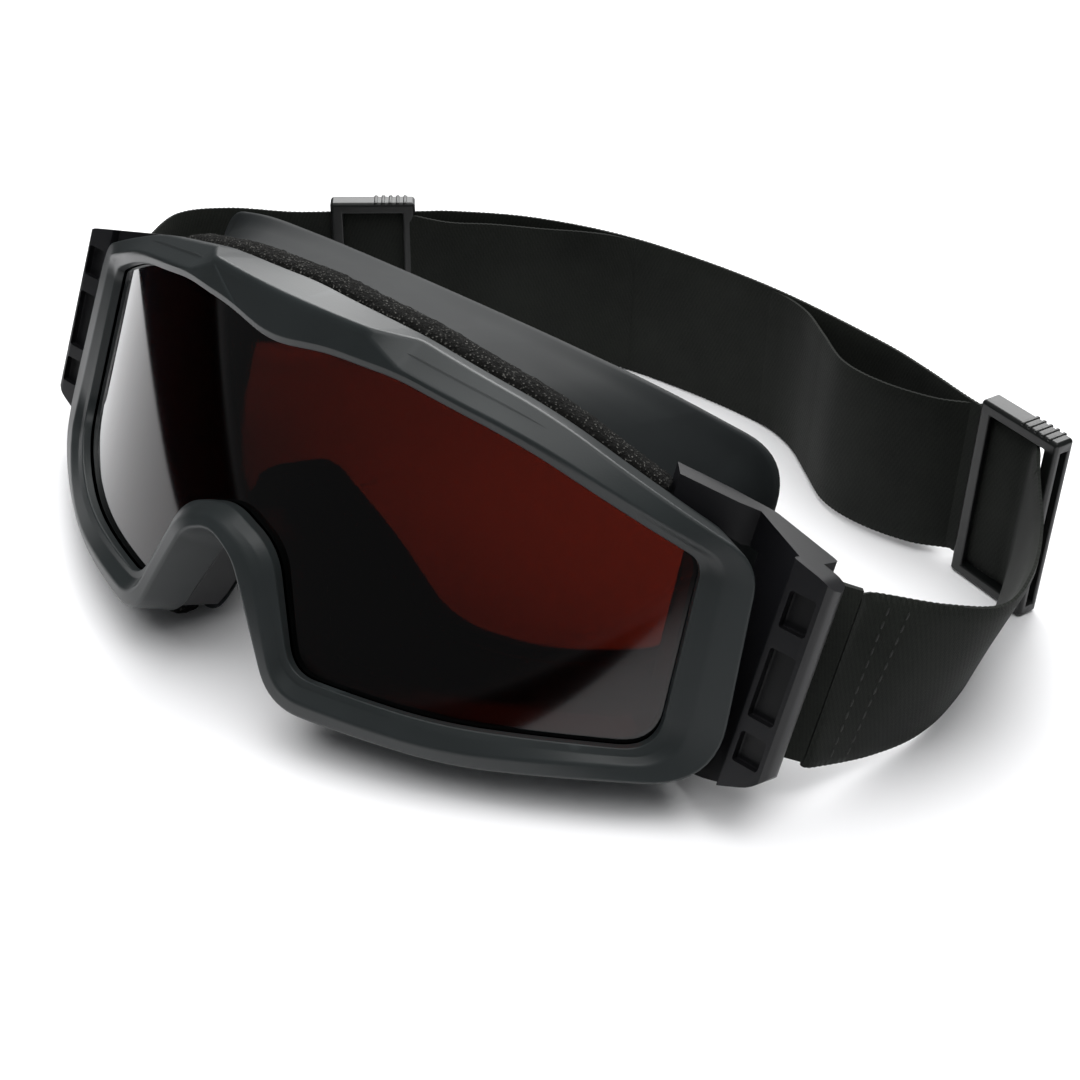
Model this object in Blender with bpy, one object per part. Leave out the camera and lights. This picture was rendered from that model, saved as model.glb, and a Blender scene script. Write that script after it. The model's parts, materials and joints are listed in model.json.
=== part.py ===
"""Motorcycle goggles: framed wrap lens, soft face flange with foam, two swinging outriggers, and an elastic
strap with two sliding adjusters.

Lengths are in millimetres and are scaled to metres when a mesh is made. The mask is drawn upright in its own
frame, with x to the viewer's right, y from the front to the back and z up, and is then leaned back.
The lens and the front frame follow an upright cylinder that opens out a little at the sides, so their
outlines are drawn flat as (s, n, z): s along the arc from the middle, n the depth behind the front skin and
z up.
"""

import math

import bmesh
import bpy
import numpy as np
from mathutils import Matrix, Vector

MM = 0.001

# Driving sizes.
FACE_RADIUS = 111.0  # plan radius of the front skin in the middle
SIDE_SPREAD = 3.5  # how far the skin has left that circle at the hinges
SIDE_REACH = 95.0  # arc length at which the skin has left the circle by SIDE_SPREAD
LEAN = math.radians(23.25)  # how far the mask leans back at rest
MASK_HEIGHT = 44.8  # height of the mask's own origin over the floor
STRAP_WIDTH = 36.0
STRAP_THICK = 1.5
GAP = 0.35  # clearance between pieces that touch
# Middle of the whole object at its lowest point, measured from the mask's middle on the floor.
ORIGIN = (6.24, 65.52, 0.14)

# Depths behind the front skin.
LIP_BACK = 2.6
LENS_FRONT = LIP_BACK + GAP
LENS_THICK = 1.3
CHASSIS_FRONT = LENS_FRONT + LENS_THICK + GAP
BEZEL_BACK = 9.0
VENT_FRONT = BEZEL_BACK + GAP
VENT_BACK = 18.0
FLANGE_FRONT = VENT_BACK + GAP
FLANGE_WALL = 2.0

# How far pieces reach outside the aperture.
CHAMFER = 1.3
CHASSIS_INSIDE = 1.5
LENS_GROWTH = 3.6
CHASSIS_OUTSIDE = 4.1
BEZEL_INSIDE = 4.6
CHASSIS_LIP = 0.4  # how far the chassis reaches inwards behind the lens
VENT_SUNK = 0.4  # how far the filters lie below the frame's back edge

# Right half of each outline, from the middle of the brow round to the middle of the nose.
# Each corner is (s, n, z, trim), where trim is the length that the rounded corner takes off each side.
APERTURE = (
    (0.0, 0.9, 26.0, 5.0),
    (13.0, 0.9, 28.4, 4.0),
    (28.0, 0.9, 28.9, 4.0),
    (52.0, 0.9, 25.6, 9.0),
    (87.0, 0.9, 15.3, 3.0),
    (89.6, 0.9, -20.0, 6.5),
    (52.0, 0.9, -27.3, 9.0),
    (21.8, 0.9, -29.6, 5.0),
    (12.0, 0.5, -8.8, 6.0),
    (0.0, 0.3, -4.7, 4.0),
)
# Where the frame's front face turns back: it drops to a tilted facet on each side of the brow.
CREST = (
    (0.0, 0.8, 35.2, 5.0),
    (20.5, 0.8, 35.5, 1.0),
    (28.5, 5.4, 35.8, 1.0),
    (56.0, 4.6, 31.1, 9.0),
    (95.2, -2.2, 18.6, 6.0),
    (99.6, -3.2, -22.4, 12.0),
    (56.0, 0.4, -34.0, 9.0),
    (19.5, 0.0, -36.8, 7.0),
    (6.6, -3.6, -12.4, 4.0),
    (0.0, -3.8, -9.2, 3.0),
)
# Depth of the front face's inner edge at each corner: it stands proud round the nose.
FACE_DEPTHS = (0.2, 0.2, 0.2, 0.2, 0.2, 0.2, 0.2, 0.9, -1.2, -1.6)
BACK_EDGE = (
    (0.0, 9.0, 37.7, 5.0),
    (20.5, 9.0, 36.5, 4.0),
    (28.5, 9.0, 35.8, 4.0),
    (56.0, 9.0, 31.2, 9.0),
    (94.6, 9.0, 18.4, 6.0),
    (96.4, 9.0, -24.6, 11.0),
    (56.0, 9.0, -34.6, 9.0),
    (18.4, 9.0, -37.4, 7.0),
    (7.0, 9.0, -15.6, 4.0),
    (0.0, 9.0, -13.0, 3.0),
)
# The flange's rear rim as (x, y, z, trim) in the mask's frame.
RIM = (
    (0.0, 37.5, 39.3, 5.0),
    (14.0, 38.6, 39.0, 4.0),
    (28.0, 40.8, 38.4, 4.0),
    (52.0, 46.5, 36.6, 9.0),
    (75.5, 58.0, 31.8, 9.0),
    (77.0, 60.0, -19.0, 13.0),
    (47.0, 43.5, -30.2, 11.0),
    (23.0, 34.0, -30.6, 8.0),
    (10.0, 24.0, -14.0, 6.0),
    (0.0, 21.0, -9.0, 3.0),
)
EDGE_STEPS = (1, 1, 2, 4, 3, 4, 3, 2, 1)  # extra points along each side of a half outline
ARC_STEPS = 3  # spans in each rounded corner
TRIM_SHARE = 0.42  # most of a side that one corner's rounding may take

FLANGE_LIP = 9.0  # width of the flange's rear face, which the foam is glued to
FLANGE_SKIN = 2.0
FLANGE_EDGE = 1.6  # thickness of the flange's outer edge
FOAM_INSET = 2.4
FOAM_WIDTH = 8.6
FOAM_DEPTH = 6.0

# How far the filters and the nose bridge run along the face.
TOP_FILTER_REACH = 79.5
LOWER_FILTER_SPAN = (25.0, 76.0)
NOSE_BRIDGE_REACH = 21.0

# Hinges of the outriggers.
HINGE_S = 86.0
HINGE_N = 13.5
PIN_RADIUS = 1.2
PIN_FIT = 0.2

# Outrigger brackets, in the mask's frame.
ARM_FRONT = 11.2
ARM_BACK = 16.2
ARM_STATIONS = (81.0, 84.0, 87.0, 90.0, 93.0)
PLAN_HALF_TALL = 40.0  # past the bracket's top and bottom
VIEW_DEPTH = (-70.0, -20.0)  # past the bracket's front and back
POCKET_PLACE = (95.6, 38.2)
POCKET_HALF_WIDTH = 2.6
POCKET_DEPTH = 1.7
POCKET_HEIGHTS = ((8.8, 15.6), (-8.0, 5.0), (-16.6, -10.8))
ANCHOR_HEIGHTS = (-16.6, 16.8)

COLOURS = {
    "satin_frame": (0.055, 0.062, 0.064, 0.42, 0.0),
    "satin_black": (0.022, 0.023, 0.026, 0.40, 0.0),
    "tinted_lens": (0.16, 0.015, 0.012, 0.08, 0.0),
    "vent_foam": (0.045, 0.045, 0.043, 0.95, 0.0),
    "face_foam": (0.030, 0.030, 0.032, 0.95, 0.0),
    "soft_rubber": (0.035, 0.038, 0.040, 0.60, 0.0),
    "strap_webbing": (0.018, 0.019, 0.018, 0.85, 0.0),
    "pin_steel": (0.45, 0.45, 0.46, 0.35, 1.0),
}


def clear_scene():
    for item in list(bpy.data.objects):
        bpy.data.objects.remove(item, do_unlink=True)


def material(name):
    red, green, blue, rough, metal = COLOURS[name]
    made = bpy.data.materials.get(name)
    if made is None:
        made = bpy.data.materials.new(name)
        made.use_nodes = True
        shader = made.node_tree.nodes["Principled BSDF"]
        shader.inputs["Base Color"].default_value = (red, green, blue, 1.0)
        shader.inputs["Roughness"].default_value = rough
        shader.inputs["Metallic"].default_value = metal
    return made


# Outlines.


def mirrored(half):
    """Closes a right half outline with its mirror image: its end corners lie on the middle plane."""
    left = [(-a, b, c, trim) for a, b, c, trim in reversed(half[1:-1])]
    return list(half) + left


def grown(half, distance):
    """Moves a half outline outwards by a distance, seen from the front."""
    loop = mirrored(half)
    moved = []
    for i in range(len(half)):
        here = Vector((loop[i][0], loop[i][2]))
        before = Vector((loop[i - 1][0], loop[i - 1][2]))
        after = Vector((loop[(i + 1) % len(loop)][0], loop[(i + 1) % len(loop)][2]))
        into = (here - before).normalized()
        out = (after - here).normalized()
        normal = Vector((-into.y - out.y, into.x + out.x)).normalized()
        reach = distance / max(normal.dot(Vector((-into.y, into.x))), 0.5)
        spot = here + normal * reach
        moved.append((spot.x, half[i][1], spot.y, half[i][3]))
    return moved


def at_depth(half, depth):
    return [(s, depth, z, trim) for s, n, z, trim in half]


def at_depths(half, depths):
    return [(s, depth, z, trim) for (s, n, z, trim), depth in zip(half, depths)]


def wrap(s, n, z):
    """Bends a flat outline point round the face."""
    angle = s / FACE_RADIUS
    radius = FACE_RADIUS - n + SIDE_SPREAD * (s / SIDE_REACH) ** 4
    return Vector((radius * math.sin(angle), FACE_RADIUS - radius * math.cos(angle), z))


def unbent(x, y, z):
    return Vector((x, y, z))


def held(trim, before, here, after):
    """Keeps a corner's trim short of its neighbours'."""
    return min(trim, TRIM_SHARE * (before - here).length, TRIM_SHARE * (after - here).length)


def rounded_loop(half, place=wrap):
    """Rounds a closed outline's corners and spreads points along its sides: same count for every outline."""
    loop = mirrored(half)
    count = len(loop)
    sides = len(half) - 1
    points = []
    for i, (a, b, c, trim) in enumerate(loop):
        here = Vector((a, b, c))
        before = Vector(loop[i - 1][:3])
        after = Vector(loop[(i + 1) % count][:3])
        ahead = Vector(loop[(i + 2) % count][:3])
        trim = held(trim, before, here, after)
        start = here + (before - here).normalized() * trim
        end = here + (after - here).normalized() * trim
        for k in range(ARC_STEPS + 1):
            t = k / ARC_STEPS
            points.append(start * (1 - t) ** 2 + here * 2 * t * (1 - t) + end * t**2)
        side = i if i < sides else count - 1 - i
        next_trim = held(loop[(i + 1) % count][3], here, after, ahead)
        next_start = after + (here - after).normalized() * next_trim
        for k in range(1, EDGE_STEPS[side] + 1):
            points.append(end.lerp(next_start, k / (EDGE_STEPS[side] + 1)))
    return [place(*point) for point in points]


# Solids.


def new_object(name, mesh, colour, parent):
    item = bpy.data.objects.new(name, mesh)
    PARTS.objects.link(item)
    mesh.materials.clear()
    mesh.materials.append(material(colour))
    mesh.shade_smooth()
    mesh.set_sharp_from_angle(angle=math.radians(35.0))
    item.parent = parent
    return item


def mesh_of(name, points, faces):
    mesh = bpy.data.meshes.new(name)
    mesh.from_pydata([tuple(Vector(p) * MM) for p in points], [], faces)
    body = bmesh.new()
    body.from_mesh(mesh)
    bmesh.ops.triangulate(body, faces=body.faces)
    bmesh.ops.recalc_face_normals(body, faces=body.faces)
    body.to_mesh(mesh)
    body.free()
    return mesh


def ring(name, rails, colour, parent):
    """Lofts a closed section round a closed outline: each rail is one edge of the section."""
    stations = len(rails[0])
    sides = len(rails)
    points = [rails[j][i] for i in range(stations) for j in range(sides)]
    faces = []
    for i in range(stations):
        for j in range(sides):
            here = i * sides + j
            across = i * sides + (j + 1) % sides
            after = (i + 1) % stations * sides
            faces.append((here, across, after + (j + 1) % sides, after + j))
    return new_object(name, mesh_of(name, points, faces), colour, parent)


def strip(name, rails, stations, colour, parent):
    """Lofts a closed section along part of an outline and caps both ends."""
    sides = len(rails)
    points = [rails[j][i] for i in stations for j in range(sides)]
    faces = [tuple(range(sides)), tuple(range(len(points) - sides, len(points)))]
    for i in range(len(stations) - 1):
        for j in range(sides):
            here = i * sides + j
            across = i * sides + (j + 1) % sides
            faces.append((here, across, across + sides, here + sides))
    return new_object(name, mesh_of(name, points, faces), colour, parent)


def stations_between(half, low, high, upper):
    """Outline points whose distance along the arc lies between two values, above or below the middle."""
    flat = rounded_loop(half, unbent)
    chosen = [i for i, p in enumerate(flat) if low <= p.x <= high and (p.z > 0) == upper]
    return sorted(chosen, key=lambda i: flat[i].x)


def plate(name, outline, low, high, holes=()):
    """Fills a plan outline and its holes and extrudes it from one height to another, as a mesh."""
    curve = bpy.data.curves.new(name, "CURVE")
    curve.dimensions = "2D"
    curve.fill_mode = "BOTH"
    curve.extrude = (high - low) / 2 * MM
    for ring_points in (outline, *holes):
        spline = curve.splines.new("POLY")
        spline.points.add(len(ring_points) - 1)
        spline.use_cyclic_u = True
        for point, (x, y) in zip(spline.points, ring_points):
            point.co = (x * MM, y * MM, 0.0, 1.0)
    guide = bpy.data.objects.new(name + "_guide", curve)
    CUTTERS.objects.link(guide)
    bpy.context.view_layer.update()
    mesh = bpy.data.meshes.new_from_object(guide)
    bpy.data.objects.remove(guide, do_unlink=True)
    body = bmesh.new()
    body.from_mesh(mesh)
    bmesh.ops.remove_doubles(body, verts=body.verts, dist=1e-6)
    bmesh.ops.translate(body, verts=body.verts, vec=(0.0, 0.0, (low + high) / 2 * MM))
    bmesh.ops.triangulate(body, faces=body.faces)
    bmesh.ops.recalc_face_normals(body, faces=body.faces)
    body.to_mesh(mesh)
    body.free()
    return mesh


def rounded_plan(corners, steps=3):
    """Rounds a closed plan outline of (x, y, trim) corners."""
    points = []
    for i, (x, y, trim) in enumerate(corners):
        here = Vector((x, y))
        before = Vector(corners[i - 1][:2])
        after = Vector(corners[(i + 1) % len(corners)][:2])
        if trim == 0:
            points.append(here)
            continue
        start = here + (before - here).normalized() * trim
        end = here + (after - here).normalized() * trim
        for k in range(steps + 1):
            t = k / steps
            points.append(start * (1 - t) ** 2 + here * 2 * t * (1 - t) + end * t**2)
    return points


def cutter(name, mesh, parent=None):
    item = bpy.data.objects.new(name, mesh)
    CUTTERS.objects.link(item)
    item.hide_render = True
    item.display_type = "WIRE"
    item.parent = parent
    return item


def box_mesh(name, low, high, rounding=0.0):
    mesh = bpy.data.meshes.new(name)
    body = bmesh.new()
    bmesh.ops.create_cube(body, size=1.0)
    size = Vector(high) - Vector(low)
    middle = (Vector(high) + Vector(low)) / 2
    bmesh.ops.scale(body, vec=size * MM, verts=body.verts)
    bmesh.ops.translate(body, vec=middle * MM, verts=body.verts)
    if rounding:
        edges = body.edges[:] + body.verts[:]
        bmesh.ops.bevel(body, geom=edges, offset=rounding * MM, segments=2, profile=0.5, affect="EDGES")
    body.to_mesh(mesh)
    body.free()
    return mesh


def cylinder_mesh(name, centre, radius, low, high):
    mesh = bpy.data.meshes.new(name)
    body = bmesh.new()
    bmesh.ops.create_cone(
        body, cap_ends=True, segments=16, radius1=radius * MM, radius2=radius * MM, depth=(high - low) * MM
    )
    place = Vector((centre[0], centre[1], (low + high) / 2)) * MM
    bmesh.ops.translate(body, vec=place, verts=body.verts)
    body.to_mesh(mesh)
    body.free()
    return mesh


def combine(item, operation, tool):
    step = item.modifiers.new(tool.name, "BOOLEAN")
    step.operation = operation
    step.solver = "EXACT"
    step.object = tool


def smooth_path(posts, steps):
    """Catmull-Rom curve through numbered posts, each a tuple of coordinates."""
    posts = np.array(posts, float)
    padded = np.vstack([2 * posts[0] - posts[1], posts, 2 * posts[-1] - posts[-2]])
    points = []
    for i in range(1, len(padded) - 2):
        a, b, c, d = padded[i - 1 : i + 3]
        for k in range(steps):
            t = k / steps
            squared = (2 * a - 5 * b + 4 * c - d) * t**2
            cubed = (3 * b - a - 3 * c + d) * t**3
            points.append((2 * b + (c - a) * t + squared + cubed) / 2)
    points.append(posts[-1])
    return np.array(points)


def band_rails(path, thick):
    """Four edges of a strap band: a row of the path is the lower edge's x, y, z and then the upper edge's."""
    low, high = path[:, :3], path[:, 3:]
    middle = (low + high)[:, :2] / 2
    along = np.gradient(middle, axis=0)
    along /= np.linalg.norm(along, axis=1)[:, None]
    side = np.column_stack([along[:, 1], -along[:, 0], np.zeros(len(along))]) * thick / 2
    return [low - side, low + side, high + side, high - side]


def band(name, posts, thick, steps, ground):
    rails = band_rails(smooth_path(posts, steps), thick)
    return strip(name, rails, list(range(len(rails[0]))), "strap_webbing", ground)


# Sub-parts of the mask.


def bezel(mask):
    seat = grown(APERTURE, BEZEL_INSIDE)
    face = at_depths(grown(APERTURE, CHAMFER), FACE_DEPTHS)
    rails = [
        rounded_loop(at_depth(APERTURE, LIP_BACK)),
        rounded_loop(APERTURE),
        rounded_loop(face),
        rounded_loop(CREST),
        rounded_loop(BACK_EDGE),
        rounded_loop(at_depth(seat, BEZEL_BACK)),
        rounded_loop(at_depth(seat, LIP_BACK)),
    ]
    return ring("bezel", rails, "satin_frame", mask)


def lens(mask):
    """A pane of even thickness, cut into columns that run from its lower to its upper edge."""
    flat = rounded_loop(grown(APERTURE, LENS_GROWTH), unbent)
    upper = sorted((p for p in flat if p.z > 0), key=lambda p: p.x)
    lower = sorted((p for p in flat if p.z <= 0), key=lambda p: p.x)
    widest = min(upper[-1].x, lower[-1].x)
    columns = np.linspace(-widest, widest, 61)
    top = np.interp(columns, [p.x for p in upper], [p.z for p in upper])
    bottom = np.interp(columns, [p.x for p in lower], [p.z for p in lower])
    rails = [
        [wrap(s, depth, z) for s, z in zip(columns, edge)]
        for depth, edge in (
            (LENS_FRONT, bottom),
            (LENS_FRONT, top),
            (LENS_FRONT + LENS_THICK, top),
            (LENS_FRONT + LENS_THICK, bottom),
        )
    ]
    return strip("lens", rails, list(range(len(columns))), "tinted_lens", mask)


def chassis(mask):
    inner_lip = grown(APERTURE, -CHASSIS_LIP)
    inside = grown(APERTURE, CHASSIS_INSIDE)
    outside = grown(APERTURE, CHASSIS_OUTSIDE)
    rails = [
        rounded_loop(at_depth(inner_lip, CHASSIS_FRONT)),
        rounded_loop(at_depth(outside, CHASSIS_FRONT)),
        rounded_loop(at_depth(outside, VENT_BACK)),
        rounded_loop(at_depth(inside, VENT_BACK)),
        rounded_loop(at_depth(inside, CHASSIS_FRONT + FLANGE_WALL)),
        rounded_loop(at_depth(inner_lip, CHASSIS_FRONT + FLANGE_WALL)),
    ]
    return ring("chassis", rails, "satin_black", mask)


def vent_strip(name, mask, low, high, upper, colour):
    """A filler between the bezel and the flange, seated on the chassis."""
    seat = grown(APERTURE, CHASSIS_OUTSIDE + GAP)
    cover = grown(BACK_EDGE, -VENT_SUNK)
    rails = [
        rounded_loop(at_depth(seat, VENT_FRONT)),
        rounded_loop(at_depth(cover, VENT_FRONT)),
        rounded_loop(at_depth(cover, VENT_BACK)),
        rounded_loop(at_depth(seat, VENT_BACK)),
    ]
    return strip(name, rails, stations_between(BACK_EDGE, low, high, upper), colour, mask)


def rim_loop(inset, shift):
    moved = grown(RIM, -inset)
    return rounded_loop([(x, y + shift, z, trim) for x, y, z, trim in moved], unbent)


def face_flange(mask):
    inside = grown(APERTURE, CHASSIS_INSIDE)
    shoulder = grown(BACK_EDGE, -FLANGE_SKIN)
    rails = [
        rounded_loop(at_depth(inside, FLANGE_FRONT)),
        rounded_loop(at_depth(BACK_EDGE, FLANGE_FRONT)),
        rim_loop(0.0, -FLANGE_EDGE),
        rim_loop(0.0, 0.0),
        rim_loop(FLANGE_LIP, 0.0),
        rim_loop(FLANGE_LIP, -FLANGE_SKIN),
        rim_loop(FLANGE_SKIN, -FLANGE_SKIN),
        rounded_loop(at_depth(shoulder, FLANGE_FRONT + FLANGE_WALL)),
        rounded_loop(at_depth(inside, FLANGE_FRONT + FLANGE_WALL)),
    ]
    return ring("face_flange", rails, "soft_rubber", mask)


def face_foam(mask):
    rails = [
        rim_loop(FOAM_INSET, GAP),
        rim_loop(FOAM_INSET, GAP + FOAM_DEPTH),
        rim_loop(FOAM_INSET + FOAM_WIDTH, GAP + FOAM_DEPTH),
        rim_loop(FOAM_INSET + FOAM_WIDTH, GAP),
    ]
    return ring("face_foam", rails, "face_foam", mask)


# Outriggers, drawn on the right and mirrored by the sign of x.


def arm_side(depth, stations):
    return [(wrap(s, depth, 0.0).x, wrap(s, depth, 0.0).y) for s in stations]


def outrigger_plan():
    """Plan of the bracket: two arms' width behind the bezel, then the side plate and its rear bar."""
    front = [(x, y, 0.0) for x, y in arm_side(ARM_FRONT, ARM_STATIONS)]
    plate_side = [
        (79.6, 45.4, 0.0),
        (91.6, 40.2, 0.0),
        (91.6, 38.2, 0.6),
        (99.2, 38.2, 1.4),
        (100.5, 41.4, 1.4),
        (99.4, 44.3, 0.6),
        (94.4, 44.3, 0.0),
        (94.4, 49.8, 0.8),
        (80.2, 49.8, 0.8),
    ]
    back = [(x, y, 0.0) for x, y in arm_side(ARM_BACK, reversed(ARM_STATIONS))]
    return rounded_plan(front + plate_side + back, 2)


def outrigger_front():
    """Front view of the bracket, a C that grips the chassis from the side."""
    outer = [
        (60.0, 28.3, 0.0),
        (98.4, 19.4, 1.5),
        (101.5, 17.0, 1.5),
        (101.5, -15.6, 3.0),
        (97.8, -19.8, 2.0),
        (86.0, -24.8, 4.0),
        (60.0, -30.6, 0.0),
    ]
    notch = [(60.0, -28.2, 0.0), (79.0, -23.6, 1.0), (79.0, 17.0, 1.0), (60.0, 25.0, 0.0)]
    return rounded_plan(outer + notch, 3)


def recess_cutters(side):
    """Three pockets in the side plate, a long one between two short ones."""
    tools = []
    for number, (low, high) in enumerate(POCKET_HEIGHTS):
        corner = (POCKET_HALF_WIDTH, POCKET_DEPTH, high)
        mesh = box_mesh("pocket", (-POCKET_HALF_WIDTH, -POCKET_DEPTH, low), corner, 0.5)
        tool = cutter(f"pocket_{number}_{side}", mesh)
        tool.location = Vector((*POCKET_PLACE, 0.0)) * MM
        tools.append(tool)
    return tools


def flip(mesh):
    """Mirrors a mesh across the middle plane and turns its faces back outwards."""
    body = bmesh.new()
    body.from_mesh(mesh)
    for vertex in body.verts:
        vertex.co.x = -vertex.co.x
    bmesh.ops.reverse_faces(body, faces=body.faces)
    body.to_mesh(mesh)
    body.free()


def baked(item, name):
    """Applies an object's own modifiers and returns the finished mesh."""
    bpy.context.view_layer.update()
    graph = bpy.context.evaluated_depsgraph_get()
    mesh = bpy.data.meshes.new_from_object(item.evaluated_get(graph))
    mesh.name = name
    bpy.data.objects.remove(item, do_unlink=True)
    return mesh


def hinge_point():
    return wrap(HINGE_S, HINGE_N, 0.0)


def pin_heights():
    """Lower and upper ends of the pins at the bottom and the top of each hinge."""
    return {"lower": (-27.9, -23.0), "upper": (18.3, 23.4)}


def outrigger(side, mask):
    plan = plate("outrigger_plan", outrigger_plan(), -PLAN_HALF_TALL, PLAN_HALF_TALL)
    body = cutter(f"outrigger_body_{side}", plan)
    view = plate("outrigger_view", outrigger_front(), *VIEW_DEPTH)
    view.transform(Matrix.Rotation(math.radians(90.0), 4, "X"))
    combine(body, "INTERSECT", cutter("front_view", view))
    openings = {
        "strap_slot": ((76.0, 44.3, -17.2), (104.0, 46.7, 17.2)),
        "loop_window": ((76.0, 44.3, -17.2), (88.0, 60.0, 17.2)),
        "under_bar": ((60.0, 46.6, -40.0), (104.0, 60.0, -19.4)),
    }
    for name, (low, high) in openings.items():
        combine(body, "DIFFERENCE", cutter(name, box_mesh(name, low, high)))
    for tool in recess_cutters(side):
        combine(body, "DIFFERENCE", tool)
    point = hinge_point()
    for place, (low, high) in pin_heights().items():
        hole = cylinder_mesh("pin_hole", point, PIN_RADIUS + PIN_FIT, low - PIN_FIT, high + PIN_FIT)
        combine(body, "DIFFERENCE", cutter(f"hinge_hole_{place}_{side}", hole))
    mesh = baked(body, f"outrigger_{side}")
    if side == "left":
        flip(mesh)
    sign = 1.0 if side == "right" else -1.0
    pivot = Vector((sign * point.x, point.y, 0.0)) * MM
    mesh.transform(Matrix.Translation(-pivot))
    item = new_object(f"outrigger_{side}", mesh, "satin_black", mask)
    item.location = pivot
    return item


def strap_anchor(side, mask):
    """The strap's sewn loop round the bracket's rear bar, with a short tail."""
    outline = rounded_plan(
        [
            (86.2, 44.9, 0.8),
            (96.2, 44.9, 0.8),
            (96.4, 49.8, 0.6),
            (99.6, 52.2, 0.0),
            (98.6, 53.6, 0.0),
            (95.0, 51.6, 0.8),
            (86.2, 51.6, 1.6),
        ]
    )
    bar = rounded_plan([(87.6, 46.3, 0.0), (94.8, 46.3, 0.0), (94.8, 50.2, 0.0), (87.6, 50.2, 0.0)])
    mesh = plate("anchor", outline, *ANCHOR_HEIGHTS, (bar,))
    if side == "left":
        flip(mesh)
    return new_object(f"strap_anchor_{side}", mesh, "strap_webbing", mask)


def hinge_pin(side, place, mask):
    point = hinge_point()
    low, high = pin_heights()[place]
    sign = 1.0 if side == "right" else -1.0
    mesh = cylinder_mesh("pin", (sign * point.x, point.y), PIN_RADIUS, low, high)
    return new_object(f"hinge_pin_{place}_{side}", mesh, "pin_steel", mask)


def drill_chassis(item):
    """Blind holes in the chassis for the four hinge pins."""
    point = hinge_point()
    for sign in (1.0, -1.0):
        for place, (low, high) in pin_heights().items():
            name = f"chassis_hole_{place}_{'right' if sign > 0 else 'left'}"
            middle = (sign * point.x, point.y)
            hole = cylinder_mesh(name, middle, PIN_RADIUS + PIN_FIT, low - PIN_FIT, high + PIN_FIT)
            combine(item, "DIFFERENCE", cutter(name, hole, item.parent))


# The strap and its adjusters stand upright on the floor behind the mask.

BAND_LOW = 0.4
SLIDER_LONG = 20.4
SLIDER_TALL = 42.0
SLIDER_DEEP = 5.0
END_BAR = 3.0
MIDDLE_BAR = 2.8
RAIL_TALL = (SLIDER_TALL - STRAP_WIDTH) / 2 - 0.4
# Place and turn in degrees of each slider.
SLIDERS = {"right": (94.5, 121.0, -16.0), "left": (-72.0, 104.5, 43.6)}
SLACK_OFFSET = 1.9  # between the middles of the band and of its doubled end
SLACK_LOW = 2.4


def slider_post(side, along):
    """A strap post at a distance along a slider's straight run."""
    x, y, turn = SLIDERS[side]
    x += along * math.cos(math.radians(turn))
    y += along * math.sin(math.radians(turn))
    low = (SLIDER_TALL - STRAP_WIDTH) / 2
    return (x, y, low, x, y, low + STRAP_WIDTH)


def upright(x, y, low=BAND_LOW):
    return (x, y, low, x, y, low + STRAP_WIDTH)


def strap_band(ground):
    """The one long elastic band, from the right outrigger round the back to the left one."""
    posts = [
        (100.6, 44.1, 6.8, 100.6, 57.5, 38.1),
        (104.5, 57.0, 3.2, 111.0, 64.0, 37.2),
        (107.2, 70.0, 1.3, 117.4, 73.0, 35.6),
        (106.6, 84.0, 0.8, 116.0, 85.5, 35.4),
        (104.6, 97.0, 0.9, 111.6, 98.0, 36.2),
        (103.8, 107.0, 1.6, 106.8, 107.5, 37.4),
        (105.0, 113.4, 2.6, 106.0, 113.4, 38.6),
        slider_post("right", 11.4),
        slider_post("right", 9.0),
        slider_post("right", 0.0),
        slider_post("right", -9.0),
        slider_post("right", -17.0),
        upright(66.0, 131.0, 2.2),
        upright(52.0, 136.2, 1.2),
        upright(24.0, 141.8),
        upright(0.0, 142.4),
        upright(-24.0, 139.8),
        upright(-44.0, 131.0, 1.4),
        slider_post("left", 20.0),
        slider_post("left", 10.0),
        slider_post("left", 0.0),
        slider_post("left", -10.0),
        slider_post("left", -20.0),
        (-97.6, 80.4, 3.4, -98.4, 81.4, 39.4),
        (-103.6, 66.0, 4.6, -105.2, 71.0, 39.2),
        (-100.6, 44.1, 6.8, -100.6, 57.5, 38.1),
    ]
    return band("strap_band", posts, STRAP_THICK, 4, ground)


def strap_slack(side, ground):
    """The strap's doubled end, sewn to a slider and bowed inwards from the band."""
    if side == "right":
        posts = [
            slider_post(side, -12.4)[:2],
            (74.0, 122.2),
            (62.0, 120.6),
            (51.0, 123.4),
            (41.0, 131.0),
        ]
    else:
        posts = [
            slider_post(side, 12.6)[:2],
            (-56.4, 113.2),
            (-48.0, 119.0),
            (-39.0, 126.0),
        ]
    start = Vector(posts[0])
    toward = (Vector(posts[1]) - start).normalized()
    inward = Vector((toward.y, -toward.x)) * (1.0 if side == "left" else -1.0)
    posts[0] = tuple(start + inward * SLACK_OFFSET)
    rows = [upright(x, y, SLACK_LOW) for x, y in posts]
    return band(f"strap_slack_{side}", rows, STRAP_THICK - 0.2, 5, ground)


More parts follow.
